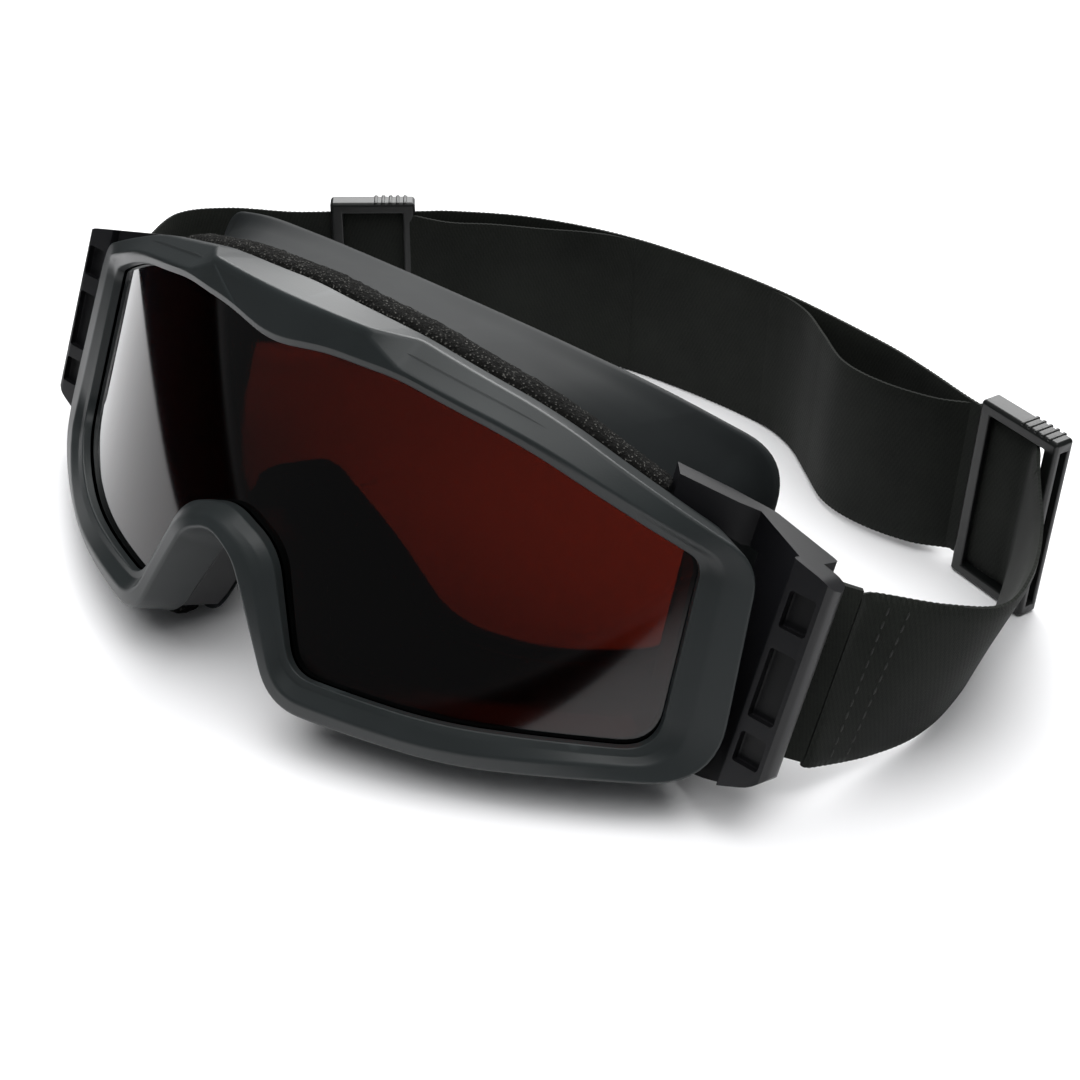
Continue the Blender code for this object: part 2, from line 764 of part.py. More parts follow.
def slider(side, ground):
    """A buckle that the band runs straight through, between end bars and an outer middle bar."""
    long, deep, tall = SLIDER_LONG / 2, SLIDER_DEEP / 2, SLIDER_TALL / 2
    x, y, turn = SLIDERS[side]
    body = cutter(f"slider_body_{side}", box_mesh("slider", (-long, -deep, -tall), (long, deep, tall), 0.8))
    window = tall - RAIL_TALL
    channel = STRAP_THICK / 2 + 0.25
    cuts = {
        "channel": ((-long - 1, -channel, -window), (long + 1, channel, window)),
        "inner_window": ((-long + END_BAR, -deep - 1, -window), (long - END_BAR, 0.0, window)),
        "outer_front": ((MIDDLE_BAR / 2, 0.0, -window), (long - END_BAR, deep + 1, window)),
        "outer_rear": ((-long + END_BAR, 0.0, -window), (-MIDDLE_BAR / 2, deep + 1, window)),
    }
    for name, (low, high) in cuts.items():
        combine(body, "DIFFERENCE", cutter(f"{name}_{side}", box_mesh(name, low, high)))
    item = new_object(f"slider_{side}", baked(body, f"slider_{side}"), "satin_black", ground)
    item.location = Vector((x, y, tall + 0.2)) * MM
    item.rotation_euler = (0.0, 0.0, math.radians(turn))
    return item


def build():
    ground = bpy.data.objects.new("ground_frame", None)
    PARTS.objects.link(ground)
    ground.location = -Vector(ORIGIN) * MM
    mask = bpy.data.objects.new("mask_lean", None)
    PARTS.objects.link(mask)
    mask.parent = ground
    mask.location = (0.0, 0.0, MASK_HEIGHT * MM)
    mask.rotation_euler = (-LEAN, 0.0, 0.0)
    bezel(mask)
    lens(mask)
    drill_chassis(chassis(mask))
    near, far = LOWER_FILTER_SPAN
    vent_strip("vent_foam_top", mask, -TOP_FILTER_REACH, TOP_FILTER_REACH, True, "vent_foam")
    vent_strip("vent_foam_bottom_right", mask, near, far, False, "vent_foam")
    vent_strip("vent_foam_bottom_left", mask, -far, -near, False, "vent_foam")
    vent_strip("nose_bridge", mask, -NOSE_BRIDGE_REACH, NOSE_BRIDGE_REACH, False, "satin_frame")
    face_flange(mask)
    face_foam(mask)
    for side in ("right", "left"):
        outrigger(side, mask)
        strap_anchor(side, mask)
        for place in ("upper", "lower"):
            hinge_pin(side, place, mask)
        slider(side, ground)
        strap_slack(side, ground)
    strap_band(ground)


clear_scene()
PARTS = bpy.data.collections.new("motorcycle_goggles")
CUTTERS = bpy.data.collections.new("cutters")
bpy.context.scene.collection.children.link(PARTS)
bpy.context.scene.collection.children.link(CUTTERS)
build()
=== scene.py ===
"""Motorcycle goggles on a pale table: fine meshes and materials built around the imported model.

Lengths are in millimetres until a mesh is made. The mask's shapes are drawn upright in its own frame, as
outlines (s, n, z): s along the face from the middle, n the depth behind the front skin, z up. The strap and
its adjusters are drawn in the table's frame, whose origin is under the middle of the mask.
"""

import json
import math

import bmesh
import bpy
import numpy as np
from mathutils import Matrix, Vector, noise


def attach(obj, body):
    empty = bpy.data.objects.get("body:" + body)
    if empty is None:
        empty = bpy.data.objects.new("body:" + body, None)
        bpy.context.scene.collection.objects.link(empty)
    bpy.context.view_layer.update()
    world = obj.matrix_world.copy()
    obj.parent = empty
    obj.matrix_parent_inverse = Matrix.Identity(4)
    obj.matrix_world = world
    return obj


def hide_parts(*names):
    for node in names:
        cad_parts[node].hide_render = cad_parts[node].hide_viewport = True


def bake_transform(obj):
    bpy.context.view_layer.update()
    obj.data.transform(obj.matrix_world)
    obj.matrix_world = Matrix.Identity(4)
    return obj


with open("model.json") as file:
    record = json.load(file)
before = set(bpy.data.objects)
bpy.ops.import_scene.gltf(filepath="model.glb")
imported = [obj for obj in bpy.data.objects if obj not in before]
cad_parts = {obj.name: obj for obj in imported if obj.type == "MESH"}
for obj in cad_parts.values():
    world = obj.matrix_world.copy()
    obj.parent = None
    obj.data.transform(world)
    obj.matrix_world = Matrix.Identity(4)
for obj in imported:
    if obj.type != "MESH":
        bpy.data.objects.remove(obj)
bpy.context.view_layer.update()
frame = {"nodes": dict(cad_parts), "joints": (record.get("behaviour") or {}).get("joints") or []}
MM = 0.001

# The mask's frame, read from its two hinges.
JOINTS = {joint["name"]: joint for joint in frame["joints"]}
HINGE_AXIS = Vector(JOINTS["swing_right"]["axis"])
LEAN = math.atan2(HINGE_AXIS.y, HINGE_AXIS.z)
HINGE_MIDDLE = (Vector(JOINTS["swing_right"]["pos_m"]) + Vector(JOINTS["swing_left"]["pos_m"])) / 2 / MM
MASK_HEIGHT = 44.8  # of the mask's own origin over the table

# Driving sizes, the same as the model's.
FACE_RADIUS = 111.0
SIDE_SPREAD = 3.5
SIDE_REACH = 95.0
HINGE_S = 86.0
HINGE_N = 13.5
GAP = 0.35
STRAP_WIDTH = 36.0
STRAP_THICK = 1.5
LIP_BACK = 2.6
LENS_FRONT = LIP_BACK + GAP
LENS_THICK = 1.3
BEZEL_BACK = 9.0
VENT_FRONT = BEZEL_BACK + GAP
VENT_BACK = 18.0
FLANGE_FRONT = VENT_BACK + GAP
CHAMFER = 1.3
LENS_GROWTH = 3.6
CHASSIS_INSIDE = 1.5
CHASSIS_OUTSIDE = 4.1
BEZEL_INSIDE = 4.6
FLANGE_LIP = 9.0
FOAM_INSET = 2.4
FOAM_WIDTH = 8.6
FOAM_DEPTH = 6.0
VENT_SUNK = 0.4

# Finer shapes than the model has.
ROUND_STEPS = 4
ROUND_SHARE = 0.45  # the most of a side that a rounded corner takes up
BEZEL_ROUNDS = (0.1, 0.3, 0.25, 0.6, 0.8, 0.5, 0.0, 0.0)
LENS_COLUMNS = 181
LENS_CREASE = math.radians(40.0)
MERGE_WITHIN = 2e-5  # metres
FLAT_WITHIN = math.radians(4.0)
BEVEL_FROM = math.radians(28.0)
BEVEL_SEGMENTS = 3
BROAD_FACE_WEIGHT = 80

# Foams. Each noise is its size and depth, in metres.
FILTER_SWELL = 2.1
FILTER_ROWS = 16
FILTER_NOISE = (0.0009, 0.00028)
FOAM_MESH = 0.5
PAD_ROWS = 9
PAD_SIDE = 0.3
PAD_CROWN = 0.7
PAD_PINCH = 0.3
PAD_ROUND = 0.3
PAD_NOISE = (0.0012, 0.00008)

# Filter strips: piece, node, the run along the face, and whether it lies over the top.
FILTER_STRIPS = (
    ("filter_top", "vent_foam_top", -79.5, 79.5, True),
    ("filter_bottom_right", "vent_foam_bottom_right", 25.0, 76.0, False),
    ("filter_bottom_left", "vent_foam_bottom_left", -76.0, -25.0, False),
)

# The flange's wall: how far from its root to its rim, how far it bulges, and its rounding.
FLANGE_SKIN = 2.0
FLANGE_WALL = ((0.3, -0.5, 4.0), (0.75, -0.4, 4.0))

# The flange's turned-in rim, from its outer edge round to the inside: inset, shift back and rounding.
FLANGE_RIM = (
    (-0.15, -2.2, 0.8),
    (-0.15, -0.5, 0.8),
    (0.5, 0.15, 0.6),
    (FLANGE_LIP - 0.5, 0.1, 0.6),
    (FLANGE_LIP, -0.8, 0.6),
    (FLANGE_LIP - 0.4, -1.9, 0.6),
    (2.0, -2.0, 1.0),
)
FLANGE_ROOT_INSET = 2.2
FLANGE_LIP_SHIFT = -1.5
FLANGE_ROOT_ROUND = 0.3
FLANGE_INSIDE_ROUND = 1.0

# Camera: where it looks, in the table's frame, and from where.
CAMERA_TARGET = (32.26, 47.53, 21.56)
CAMERA_TURN = math.radians(40.67)
CAMERA_RISE = math.radians(35.64)
CAMERA_ROLL = math.radians(1.05)
CAMERA_DISTANCE = 333.8
CAMERA_LENS = 56.84
SENSOR_WIDTH = 36.0
CAMERA_NEAR = 0.01  # metres

# Area lamps in metres and watts: name, place, size, power and whether gloss shows them.
LAMP_TARGET = Vector((0.0, 0.0, 0.0))
LAMPS = (
    ("backdrop", (-0.45, 0.75, 0.55), (1.0, 0.6), 10.0, True),
    ("overhead", (0.1, 0.1, 0.9), (0.6, 0.6), 2.5, True),
    ("table_wash", (0.0, -0.1, 1.0), (1.3, 1.3), 15.0, False),
)
SKY_COLOUR = (0.95, 0.97, 1.0, 1.0)
SKY_STRENGTH = 0.10
TABLE_REACH = 3.0

# The dark surround, in metres and degrees, round a point in front of the mask's far half.
DARK_CENTRE = (-0.09, -0.075)
DARK_INSIDE = 0.155
DARK_OUTSIDE = 1.6
DARK_FROM = 115.0
DARK_TO = 320.0
DARK_SPOKES = 90
DARK_HEIGHT = 0.001

# Right half of each outline, from the middle of the brow round to the middle of the nose.
# Each corner is (s, n, z, trim), where trim is the length that the rounded corner takes off each side.
APERTURE = (
    (0.0, 0.9, 26.0, 5.0),
    (13.0, 0.9, 28.4, 4.0),
    (28.0, 0.9, 28.9, 4.0),
    (52.0, 0.9, 25.6, 9.0),
    (87.0, 0.9, 15.3, 3.0),
    (89.6, 0.9, -20.0, 6.5),
    (52.0, 0.9, -27.3, 9.0),
    (21.8, 0.9, -29.6, 5.0),
    (12.0, 0.5, -8.8, 6.0),
    (0.0, 0.3, -4.7, 4.0),
)
# Depth of the flat face's inner edge, corner by corner.
FACE_DEPTHS = (0.2, 0.2, 0.2, 0.2, 0.2, 0.2, 0.2, 0.9, -1.2, -1.6)
RIDGE = (
    (0.0, 0.45, 33.8, 5.0),
    (20.2, 0.45, 34.1, 1.0),
    (27.6, 0.3, 30.9, 1.0),
    (53.0, 0.2, 27.5, 9.0),
    (90.4, -0.9, 16.7, 4.0),
    (93.6, -1.5, -20.8, 8.0),
    (54.0, -0.8, -31.4, 9.0),
    (20.6, -0.9, -33.6, 6.0),
    (9.8, -2.4, -11.0, 5.0),
    (0.0, -2.9, -7.0, 3.5),
)
CREST = (
    (0.0, 0.8, 35.2, 5.0),
    (20.5, 0.8, 35.5, 1.0),
    (28.5, 5.4, 35.8, 1.0),
    (56.0, 4.6, 31.1, 9.0),
    (95.2, -2.2, 18.6, 6.0),
    (99.6, -3.2, -22.4, 12.0),
    (56.0, 0.4, -34.0, 9.0),
    (19.5, 0.0, -36.8, 7.0),
    (6.6, -3.6, -12.4, 4.0),
    (0.0, -3.8, -9.2, 3.0),
)
BACK_EDGE = (
    (0.0, 9.0, 37.7, 5.0),
    (20.5, 9.0, 36.5, 4.0),
    (28.5, 9.0, 35.8, 4.0),
    (56.0, 9.0, 31.2, 9.0),
    (94.6, 9.0, 18.4, 6.0),
    (96.4, 9.0, -24.6, 11.0),
    (56.0, 9.0, -34.6, 9.0),
    (18.4, 9.0, -37.4, 7.0),
    (7.0, 9.0, -15.6, 4.0),
    (0.0, 9.0, -13.0, 3.0),
)
RIM = (
    (0.0, 37.5, 39.3, 5.0),
    (14.0, 38.6, 39.0, 4.0),
    (28.0, 40.8, 38.4, 4.0),
    (52.0, 46.5, 36.6, 9.0),
    (75.5, 58.0, 31.8, 9.0),
    (77.0, 60.0, -19.0, 13.0),
    (47.0, 43.5, -30.2, 11.0),
    (23.0, 34.0, -30.6, 8.0),
    (10.0, 24.0, -14.0, 6.0),
    (0.0, 21.0, -9.0, 3.0),
)
EDGE_STEPS = (5, 4, 8, 14, 10, 14, 10, 8, 4)
ARC_STEPS = 10
TRIM_SHARE = 0.42


# Outlines.


def mirrored(half):
    left = [(-a, b, c, trim) for a, b, c, trim in reversed(half[1:-1])]
    return list(half) + left


def grown(half, distance):
    """Moves a half outline outwards by a distance, seen from the front."""
    loop = mirrored(half)
    moved = []
    for i in range(len(half)):
        here = Vector((loop[i][0], loop[i][2]))
        before = Vector((loop[i - 1][0], loop[i - 1][2]))
        after = Vector((loop[(i + 1) % len(loop)][0], loop[(i + 1) % len(loop)][2]))
        into = (here - before).normalized()
        out = (after - here).normalized()
        normal = Vector((-into.y - out.y, into.x + out.x)).normalized()
        reach = distance / max(normal.dot(Vector((-into.y, into.x))), 0.5)
        spot = here + normal * reach
        moved.append((spot.x, half[i][1], spot.y, half[i][3]))
    return moved


def at_depth(half, depth):
    return [(s, depth, z, trim) for s, n, z, trim in half]


def at_depths(half, depths):
    return [(s, depth, z, trim) for (s, n, z, trim), depth in zip(half, depths)]


def wrap(s, n, z):
    """Bends a flat outline point round the face."""
    angle = s / FACE_RADIUS
    radius = FACE_RADIUS - n + SIDE_SPREAD * (s / SIDE_REACH) ** 4
    return Vector((radius * math.sin(angle), FACE_RADIUS - radius * math.cos(angle), z))


def unbent(x, y, z):
    return Vector((x, y, z))


def held(trim, before, here, after):
    return min(trim, TRIM_SHARE * (before - here).length, TRIM_SHARE * (after - here).length)


def rounded_loop(half, place=wrap):
    """Rounds a closed outline's corners and spreads points along its sides, as many for every outline."""
    loop = mirrored(half)
    count = len(loop)
    sides = len(half) - 1
    points = []
    for i, (a, b, c, trim) in enumerate(loop):
        here = Vector((a, b, c))
        before = Vector(loop[i - 1][:3])
        after = Vector(loop[(i + 1) % count][:3])
        ahead = Vector(loop[(i + 2) % count][:3])
        trim = held(trim, before, here, after)
        start = here + (before - here).normalized() * trim
        end = here + (after - here).normalized() * trim
        for k in range(ARC_STEPS + 1):
            t = k / ARC_STEPS
            points.append(start * (1 - t) ** 2 + here * 2 * t * (1 - t) + end * t**2)
        side = i if i < sides else count - 1 - i
        next_trim = held(loop[(i + 1) % count][3], here, after, ahead)
        next_start = after + (here - after).normalized() * next_trim
        for k in range(1, EDGE_STEPS[side] + 1):
            points.append(end.lerp(next_start, k / (EDGE_STEPS[side] + 1)))
    return [place(*point) for point in points]


# Frames.


def mask_matrix():
    """From the mask's upright frame in millimetres to the model's frame in metres."""
    turn = Matrix.Rotation(-LEAN, 4, "X")
    origin = HINGE_MIDDLE - turn @ Vector((0.0, wrap(HINGE_S, HINGE_N, 0.0).y, 0.0))
    return Matrix.Scale(MM, 4) @ Matrix.Translation(origin) @ turn


MASK = mask_matrix()
TABLE = Matrix.Scale(MM, 4) @ Matrix.Translation(MASK.translation / MM - Vector((0.0, 0.0, MASK_HEIGHT)))


# Meshes.


def new_piece(name, mesh, surface, slot_name):
    item = bpy.data.objects.new(name, mesh)
    bpy.context.scene.collection.objects.link(item)
    mesh.materials.clear()
    mesh.materials.append(surface)
    return item


def mesh_of(name, points, faces, place):
    mesh = bpy.data.meshes.new(name)
    mesh.from_pydata([tuple(place @ Vector(p)) for p in points], [], faces)
    body = bmesh.new()
    body.from_mesh(mesh)
    bmesh.ops.recalc_face_normals(body, faces=body.faces)
    body.to_mesh(mesh)
    body.free()
    mesh.shade_smooth()
    return mesh


def rounded_section(rails, rounds):
    """Rounds the section's corners at every station: each rail of a loft becomes a few that follow an arc."""
    rails = [np.array(rail, float) for rail in rails]
    finer = []
    for j, radius in enumerate(rounds):
        here, before, after = rails[j], rails[j - 1], rails[(j + 1) % len(rails)]
        if radius == 0:
            finer.append(here)
            continue
        starts, ends = [], []
        for p, a, b in zip(here, before, after):
            back, on = np.linalg.norm(a - p), np.linalg.norm(b - p)
            trim = min(radius, ROUND_SHARE * back, ROUND_SHARE * on)
            starts.append(p + (a - p) / back * trim)
            ends.append(p + (b - p) / on * trim)
        starts, ends = np.array(starts), np.array(ends)
        for k in range(ROUND_STEPS + 1):
            t = k / ROUND_STEPS
            finer.append(starts * (1 - t) ** 2 + here * 2 * t * (1 - t) + ends * t**2)
    return finer


def even_shading(item):
    """Keeps the broad faces flat-shaded beside their small rounded edges."""
    step = item.modifiers.new("even_shading", "WEIGHTED_NORMAL")
    step.keep_sharp = True
    step.weight = BROAD_FACE_WEIGHT


def ring(name, rails, rounds, surface, slot_name):
    """Lofts a closed section with rounded corners round a closed outline."""
    rails = rounded_section(rails, rounds)
    stations, sides = len(rails[0]), len(rails)
    points = [rails[j][i] for i in range(stations) for j in range(sides)]
    faces = []
    for i in range(stations):
        for j in range(sides):
            after = (i + 1) % stations * sides
            across = (j + 1) % sides
            faces.append((i * sides + j, i * sides + across, after + across, after + j))
    item = new_piece(name, mesh_of(name, points, faces, MASK), surface, slot_name)
    even_shading(item)
    return item


def strip(name, rails, rounds, surface, slot_name):
    """Lofts a closed section along an open path and caps both ends."""
    rails = rounded_section(rails, rounds)
    stations, sides = len(rails[0]), len(rails)
    points = [rails[j][i] for i in range(stations) for j in range(sides)]
    last = (stations - 1) * sides
    faces = [tuple(range(sides)), tuple(range(last, last + sides))]
    for i in range(stations - 1):
        for j in range(sides):
            here, across = i * sides + j, i * sides + (j + 1) % sides
            faces.append((here, across, across + sides, here + sides))
    return new_piece(name, mesh_of(name, points, faces, MASK), surface, slot_name)


def refined(node, surface, slot_name, round_off):
    """A moulded piece with rounded edges, made from a plain solid of the model."""
    mesh = frame["nodes"][node].data.copy()
    body = bmesh.new()
    body.from_mesh(mesh)
    bmesh.ops.remove_doubles(body, verts=body.verts, dist=MERGE_WITHIN)
    bmesh.ops.dissolve_limit(body, angle_limit=FLAT_WITHIN, verts=body.verts, edges=body.edges)
    bmesh.ops.recalc_face_normals(body, faces=body.faces)
    body.to_mesh(mesh)
    body.free()
    item = new_piece(f"{node}_moulded", mesh, surface, slot_name)
    mesh.shade_smooth()
    step = item.modifiers.new("round_off", "BEVEL")
    step.width = round_off * MM
    step.segments = BEVEL_SEGMENTS
    step.limit_method = "ANGLE"
    step.angle_limit = BEVEL_FROM
    step.harden_normals = True
    tidy = item.modifiers.new("normals", "WEIGHTED_NORMAL")
    tidy.keep_sharp = True
    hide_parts(node)
    return item


def stations_between(half, low, high, upper):
    """Numbers of an outline's points in a run along the face, over the top or under the bottom."""
    flat = rounded_loop(half, unbent)
    chosen = [i for i, p in enumerate(flat) if low <= p.x <= high and (p.z > 0) == upper]
    return sorted(chosen, key=lambda i: flat[i].x)


# Materials.

# Along x, the tint goes from deep to bright over a length in metres: the deep end is painted shade.
LENS_SHADE_FADE = 0.15
LENS_SHADE_FADE_START = 0.45


class Nodes:
    """A material under construction: short calls that add and link its shader nodes."""

    def __init__(self, name):
        self.material = bpy.data.materials.new(name)
        self.material.use_nodes = True
        self.tree = self.material.node_tree
        self.shader = self.tree.nodes["Principled BSDF"]

    def add(self, kind, inputs=None, **settings):
        node = self.tree.nodes.new(kind)
        for key, value in settings.items():
            setattr(node, key, value)
        for key, value in (inputs or {}).items():
            if isinstance(value, bpy.types.NodeSocket):
                self.tree.links.new(value, node.inputs[key])
            else:
                node.inputs[key].default_value = value
        return node

    def set(self, **inputs):
        for key, value in inputs.items():
            socket = self.shader.inputs[key.replace("_", " ")]
            if isinstance(value, bpy.types.NodeSocket):
                self.tree.links.new(value, socket)
            else:
                socket.default_value = value

    def place(self):
        return self.add("ShaderNodeTexCoord").outputs["Object"]

    def grain(self, where, scale, detail=2.0, rough=0.5):
        inputs = {"Vector": where, "Scale": scale, "Detail": detail, "Roughness": rough}
        return self.add("ShaderNodeTexNoise", inputs).outputs["Fac"]

    def ramp(self, value, stops):
        node = self.add("ShaderNodeValToRGB", {"Fac": value})
        points = node.color_ramp.elements
        while len(points) < len(stops):
            points.new(0.5)
        for point, (position, colour) in zip(points, stops):
            point.position = position
            point.color = (*colour, 1.0)
        return node.outputs["Color"]

    def math(self, operation, first, second=0.0, third=0.0):
        return self.add("ShaderNodeMath", {0: first, 1: second, 2: third}, operation=operation).outputs[0]

    def bump(self, height, strength, distance):
        inputs = {"Height": height, "Strength": strength, "Distance": distance}
        return self.add("ShaderNodeBump", inputs).outputs["Normal"]


def moulded(name, dark, light, rough, grain_size, grain_depth, shine=0.45):
    """Satin moulded plastic: fine leathery grain, faint colour drift, and convex edges a little lighter."""
    made = Nodes(name)
    where = made.place()
    drift = made.grain(where, 60.0, 3.0)
    edge = made.add("ShaderNodeNewGeometry").outputs["Pointiness"]
    convex_edge_lift = made.math("MULTIPLY_ADD", edge, 5.0, -2.35)
    mixed = made.math("MULTIPLY_ADD", drift, 0.35, made.math("MAXIMUM", convex_edge_lift, 0.0))
    made.set(Base_Color=made.ramp(mixed, ((0.1, dark), (0.75, light))))
    fine = made.grain(where, 1000.0 / grain_size, 1.0)
    smudge = made.grain(where, 25.0, 4.0)
    blotch = made.math("MULTIPLY_ADD", smudge, 0.16, rough - 0.08)
    made.set(Roughness=blotch, Normal=made.bump(fine, 0.35, grain_depth * MM), IOR=1.5)
    made.shader.inputs["Specular IOR Level"].default_value = shine
    return made.material


def open_foam(name, dark, light, cell, depth):
    """Open-cell foam: pits and fine strands, with painted shade darkening the pits."""
    made = Nodes(name)
    where = made.place()
    cells = made.add("ShaderNodeTexVoronoi", {"Vector": where, "Scale": 1000.0 / cell}, feature="F1")
    strands = made.grain(where, 1900.0 / cell, 4.0, 0.7)
    height = made.math("MULTIPLY_ADD", cells.outputs["Distance"], -0.7, strands)
    # Painted shade: the first colour fills the pits, where shadow falls.
    made.set(Base_Color=made.ramp(height, ((0.12, dark), (0.30, dark), (0.46, light))))
    made.set(Roughness=0.95, Normal=made.bump(height, 1.0, depth * MM))
    made.shader.inputs["Specular IOR Level"].default_value = 0.2
    return made.material


def webbing(name, dark, light, rib):
    """Woven elastic: ribs that run aslant and fine rubber lines along it. u and v are in millimetres."""
    made = Nodes(name)
    sheet = made.add("ShaderNodeSeparateXYZ", {"Vector": made.add("ShaderNodeTexCoord").outputs["UV"]})
    along, across = sheet.outputs["X"], sheet.outputs["Y"]
    turns = 2 * math.pi / rib
    diagonal = made.math("ADD", along, made.math("MULTIPLY", across, 1.7))
    twill = made.math("SINE", made.math("MULTIPLY", diagonal, turns))
    rows = made.math("SINE", made.math("MULTIPLY", across, turns * 1.25))
    picks = made.math("SINE", made.math("MULTIPLY", along, turns * 2.2))
    weave = made.math("ADD", made.math("MULTIPLY", twill, rows), made.math("MULTIPLY", picks, 0.5))
    fuzz = made.grain(made.place(), 2600.0, 3.0, 0.7)
    height = made.math("MULTIPLY_ADD", weave, 0.22, fuzz)
    drift = made.grain(made.place(), 45.0, 3.0)
    shade = made.math("MULTIPLY_ADD", drift, 0.5, made.math("MULTIPLY", height, 0.5))
    made.set(Base_Color=made.ramp(shade, ((0.25, dark), (0.8, light))), Roughness=0.88)
    made.set(Normal=made.bump(height, 0.55, 0.14 * MM))
    made.shader.inputs["Sheen Weight"].default_value = 0.04
    made.shader.inputs["Sheen Roughness"].default_value = 0.5
    made.shader.inputs["Specular IOR Level"].default_value = 0.18
    return made.material


def stitching(name):
    made = Nodes(name)
    twist = made.grain(made.place(), 4000.0, 2.0)
    dark, light = (0.006, 0.0065, 0.006), (0.028, 0.029, 0.026)
    made.set(Base_Color=made.ramp(twist, ((0.3, dark), (0.8, light))), Roughness=0.7)
    made.set(Normal=made.bump(twist, 0.6, 0.1 * MM))
    return made.material


def tinted_glass():
    """Rose-brown tinted lens: clear, glossy and faintly dusty, with painted shade that deepens the tint
    towards -x.
    """
    made = Nodes("tinted_lens_look")
    dust = made.grain(made.place(), 35.0, 5.0, 0.6)
    # Painted shade: the base colour darkens towards -x and stands in for the shadow behind the mask.
    across = made.add("ShaderNodeSeparateXYZ", {"Vector": made.place()}).outputs["X"]
    painted_shade_fade = made.math("MULTIPLY_ADD", across, 1 / LENS_SHADE_FADE, LENS_SHADE_FADE_START)
    shaded_tint = (0.005, 0.0010, 0.0007)
    bright = (0.058, 0.0035, 0.0008)
    made.set(Base_Color=made.ramp(painted_shade_fade, ((0.0, shaded_tint), (1.0, bright))), IOR=1.5)
    made.set(Roughness=made.math("MULTIPLY_ADD", dust, 0.05, 0.03))
    made.shader.inputs["Transmission Weight"].default_value = 1.0
    return made.material


def steel():
    made = Nodes("pin_steel_look")
    lines = made.grain(made.place(), 3000.0, 2.0)
    made.set(Base_Color=(0.42, 0.42, 0.43, 1.0), Metallic=1.0)
    made.set(Roughness=made.math("MULTIPLY_ADD", lines, 0.2, 0.22), Normal=made.bump(lines, 0.2, 0.05 * MM))
    return made.material


FRAME_DARK = (0.0095, 0.0115, 0.0118)
FRAME_LIGHT = (0.0240, 0.0290, 0.0298)
FRAME_PLASTIC = moulded("frame_plastic", FRAME_DARK, FRAME_LIGHT, 0.40, 0.35, 0.03)
BLACK_DARK = (0.0018, 0.0018, 0.0022)
BLACK_LIGHT = (0.007, 0.007, 0.0085)
BLACK_PLASTIC = moulded("black_plastic", BLACK_DARK, BLACK_LIGHT, 0.44, 0.40, 0.03)
SLIDER_DARK = (0.0025, 0.003, 0.003)
SLIDER_LIGHT = (0.009, 0.010, 0.0095)
SLIDER_PLASTIC = moulded("slider_plastic", SLIDER_DARK, SLIDER_LIGHT, 0.36, 0.30, 0.02)
RUBBER_DARK = (0.0045, 0.0055, 0.0058)
RUBBER_LIGHT = (0.015, 0.018, 0.019)
SOFT_RUBBER = moulded("flange_rubber", RUBBER_DARK, RUBBER_LIGHT, 0.62, 0.25, 0.02, 0.22)
# Each foam's first colour is the painted shade in its pits.
FILTER_FOAM = open_foam("filter_foam", (0.006, 0.006, 0.0056), (0.125, 0.124, 0.115), 0.62, 0.5)
SKIN_FOAM = open_foam("skin_foam", (0.004, 0.004, 0.005), (0.040, 0.040, 0.044), 0.45, 0.25)
WEBBING = webbing("woven_elastic", (0.0036, 0.0044, 0.0037), (0.0175, 0.0195, 0.0165), 0.9)
THREAD = stitching("thread")
LENS_GLASS = tinted_glass()
STEEL = steel()


# The mask.


def front_frame():
    seat = grown(APERTURE, BEZEL_INSIDE)
    rails = [
        rounded_loop(at_depth(APERTURE, LIP_BACK)),
        rounded_loop(APERTURE),
        rounded_loop(at_depths(grown(APERTURE, CHAMFER), FACE_DEPTHS)),
        rounded_loop(RIDGE),
        rounded_loop(CREST),
        rounded_loop(BACK_EDGE),
        rounded_loop(at_depth(seat, BEZEL_BACK)),
        rounded_loop(at_depth(seat, LIP_BACK)),
    ]
    item = ring("front_frame", rails, BEZEL_ROUNDS, FRAME_PLASTIC, "satin_frame")
    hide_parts("bezel")
    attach(item, "goggles")


def lens_pane():
    flat = rounded_loop(grown(APERTURE, LENS_GROWTH), unbent)
    upper = sorted((p for p in flat if p.z > 0), key=lambda p: p.x)
    lower = sorted((p for p in flat if p.z <= 0), key=lambda p: p.x)
    widest = min(upper[-1].x, lower[-1].x)
    columns = np.linspace(-widest, widest, LENS_COLUMNS)
    top = np.interp(columns, [p.x for p in upper], [p.z for p in upper])
    bottom = np.interp(columns, [p.x for p in lower], [p.z for p in lower])
    rails = [
        [wrap(s, depth, z) for s, z in zip(columns, edge)]
        for depth, edge in (
            (LENS_FRONT, bottom),
            (LENS_FRONT, top),
            (LENS_FRONT + LENS_THICK, top),
            (LENS_FRONT + LENS_THICK, bottom),
        )
    ]
    item = strip("lens_pane", rails, (0.0,) * 4, LENS_GLASS, "tinted_lens")
    item.data.set_sharp_from_angle(angle=LENS_CREASE)
    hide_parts("lens")
    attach(item, "goggles")


def foam_strip(name, node, low, high, upper):
    """A filter pad whose outer skin is rough with cut cells."""
    seat = grown(APERTURE, CHASSIS_OUTSIDE + GAP)
    section = []
    for k in range(FILTER_ROWS + 1):
        t = k / FILTER_ROWS
        swell = FILTER_SWELL * math.sin(math.pi * t) ** 0.5 - VENT_SUNK
        depth = VENT_FRONT + (VENT_BACK - VENT_FRONT) * t
        section.append(rounded_loop(at_depth(grown(BACK_EDGE, swell), depth)))
    section.append(rounded_loop(at_depth(seat, VENT_BACK)))
    section.append(rounded_loop(at_depth(seat, VENT_FRONT)))
    chosen = stations_between(BACK_EDGE, low, high, upper)
    columns = int((high - low) / FOAM_MESH)
    rails = [resampled([rail[i] for i in chosen], columns) for rail in section]
    item = strip(name, rails, (0.0,) * len(rails), FILTER_FOAM, "vent_foam")
    roughen(item, *FILTER_NOISE)
    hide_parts(node)
    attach(item, "goggles")


